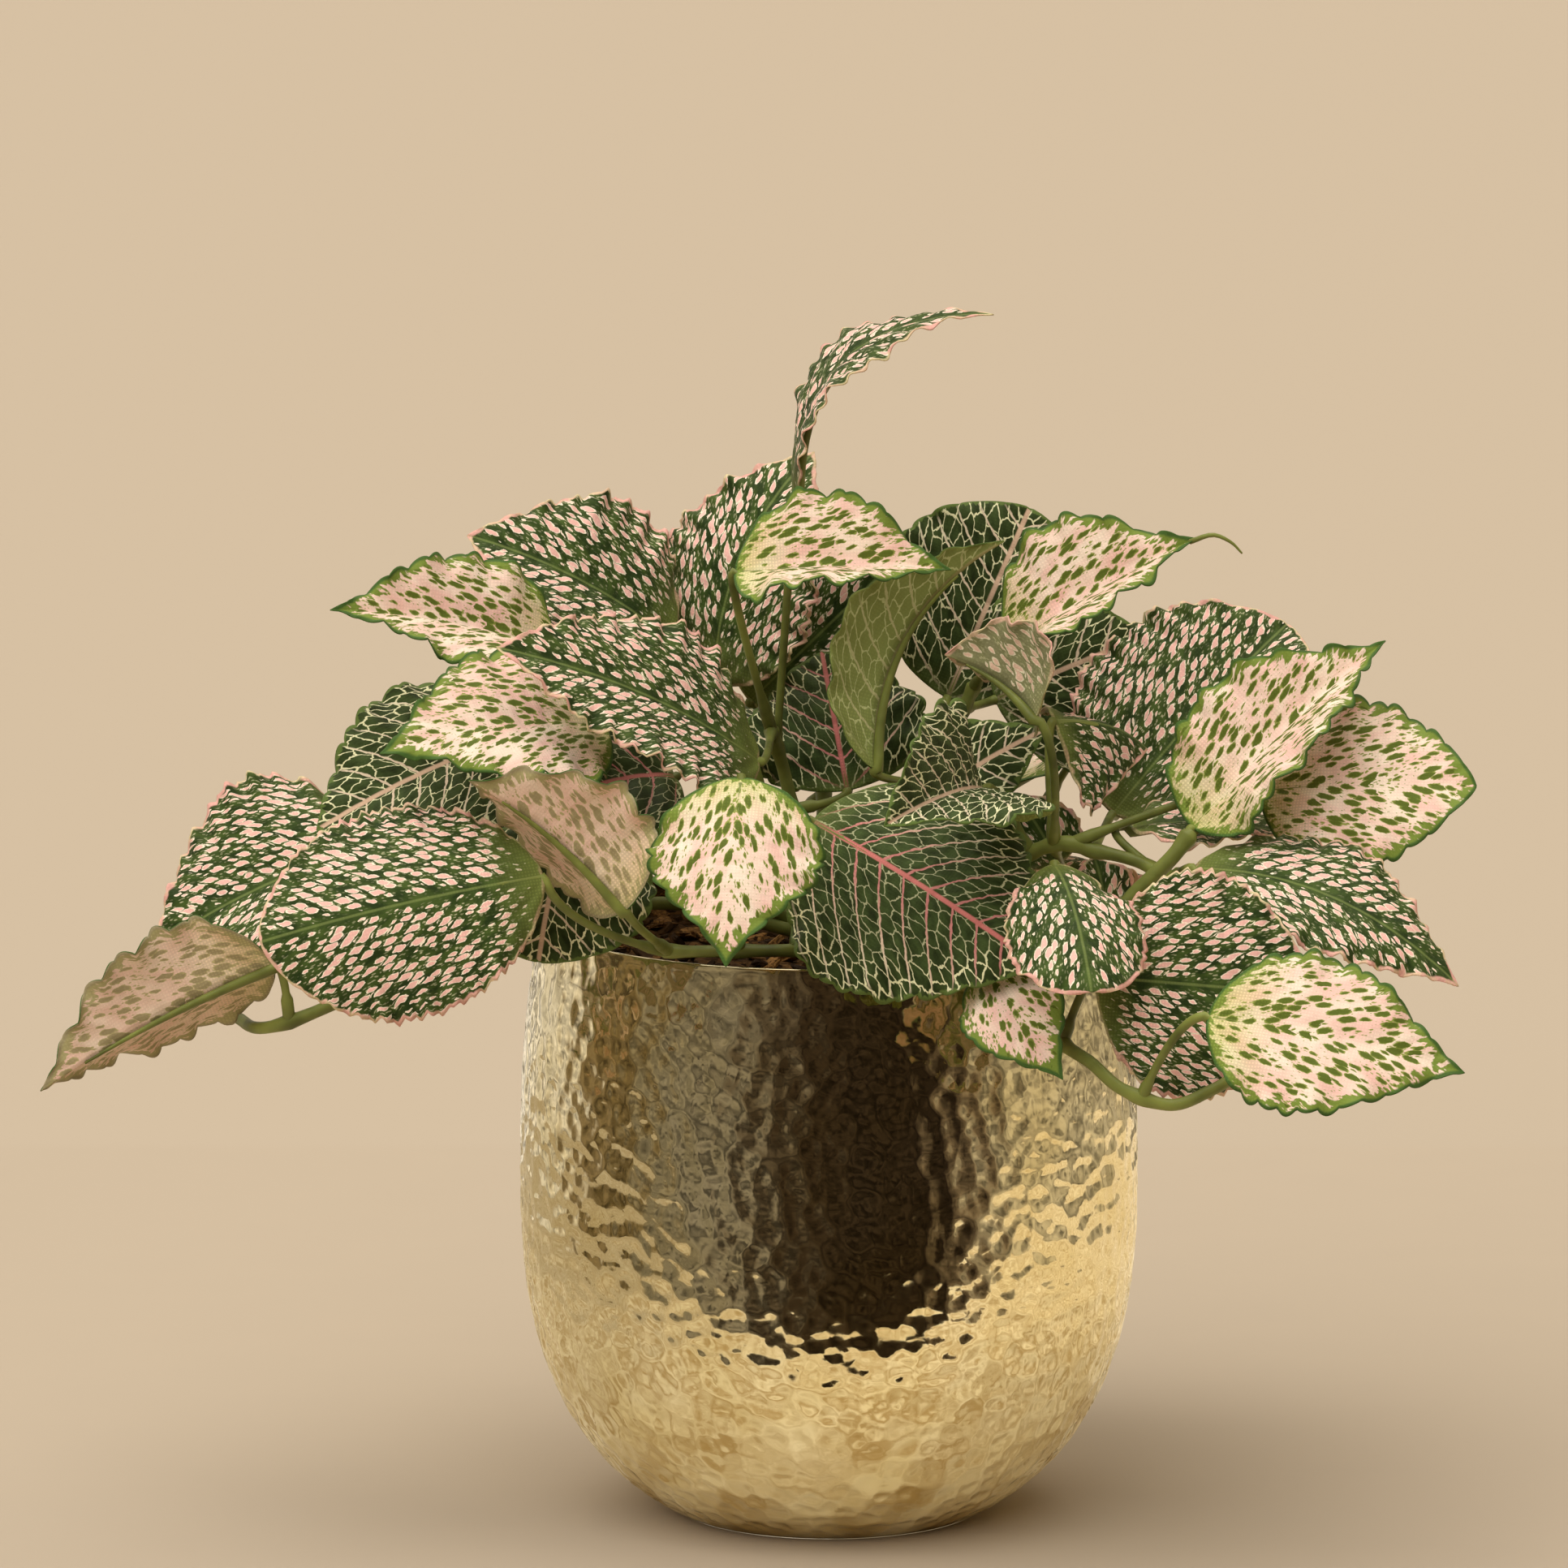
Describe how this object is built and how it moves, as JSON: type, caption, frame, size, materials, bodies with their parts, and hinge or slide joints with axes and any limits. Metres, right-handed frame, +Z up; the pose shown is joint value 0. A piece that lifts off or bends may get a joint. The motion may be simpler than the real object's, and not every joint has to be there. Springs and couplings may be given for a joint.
{
  "type": "potted artificial fittonia",
  "caption": "Low bushy artificial fittonia with printed cloth leaves on moulded stems, standing in a round hammered metal pot.",
  "frame": {"origin": "centre of the pot's flat foot, on the surface it stands on", "axes": "+Z up along the pot's axis; the side meant to be seen faces -Y; +X is to the right seen from there"},
  "size_m": [0.3883, 0.2763, 0.3377],
  "materials": {
    "hammered_metal": "polished pale gold, hammered dimples",
    "bark_filler": "dark loose bark and soil over foam",
    "stem_plastic": "moulded olive green, satin",
    "spotted_cloth": "dark green cloth printed with pink spots",
    "pale_cloth": "pale pink cloth printed with green spots and border",
    "netted_cloth": "very dark green cloth printed with pink and cream veins"
  },
  "bodies": {
    "root": {"filler": "bark_filler", "netted_leaf_01": "netted_cloth", "netted_leaf_02": "netted_cloth", "netted_leaf_03": "netted_cloth", "netted_leaf_04": "netted_cloth", "netted_leaf_05": "netted_cloth", "netted_leaf_06": "netted_cloth", "netted_leaf_07": "netted_cloth", "netted_leaf_08": "netted_cloth", "netted_leaf_09": "netted_cloth", "netted_leaf_10": "netted_cloth", "netted_leaf_11": "netted_cloth", "netted_leaf_12": "netted_cloth", "netted_leaf_13": "netted_cloth", "pale_leaf_01": "pale_cloth", "pale_leaf_02": "pale_cloth", "pale_leaf_03": "pale_cloth", "pale_leaf_04": "pale_cloth", "pale_leaf_05": "pale_cloth", "pale_leaf_06": "pale_cloth", "pale_leaf_07": "pale_cloth", "pale_leaf_08": "pale_cloth", "pale_leaf_09": "pale_cloth", "pale_leaf_10": "pale_cloth", "pale_leaf_11": "pale_cloth", "pale_leaf_12": "pale_cloth", "pale_leaf_13": "pale_cloth", "pale_leaf_14": "pale_cloth", "pot": "hammered_metal", "spotted_leaf_01": "spotted_cloth", "spotted_leaf_02": "spotted_cloth", "spotted_leaf_03": "spotted_cloth", "spotted_leaf_04": "spotted_cloth", "spotted_leaf_05": "spotted_cloth", "spotted_leaf_06": "spotted_cloth", "spotted_leaf_07": "spotted_cloth", "spotted_leaf_08": "spotted_cloth", "spotted_leaf_09": "spotted_cloth", "spotted_leaf_10": "spotted_cloth", "spotted_leaf_11": "spotted_cloth", "spotted_leaf_12": "spotted_cloth", "spotted_leaf_13": "spotted_cloth", "spotted_leaf_14": "spotted_cloth", "spotted_leaf_15": "spotted_cloth", "spotted_leaf_16": "spotted_cloth", "spotted_leaf_17": "spotted_cloth", "spotted_leaf_18": "spotted_cloth", "spotted_leaf_19": "spotted_cloth", "stem_centre": "stem_plastic", "stem_front": "stem_plastic", "stem_left": "stem_plastic", "stem_left_high": "stem_plastic", "stem_left_low": "stem_plastic", "stem_rear": "stem_plastic", "stem_rear_left": "stem_plastic", "stem_rear_right": "stem_plastic", "stem_right": "stem_plastic", "stem_right_high": "stem_plastic", "stem_right_low": "stem_plastic", "stem_right_upright": "stem_plastic"}
  },
  "joints": []
}
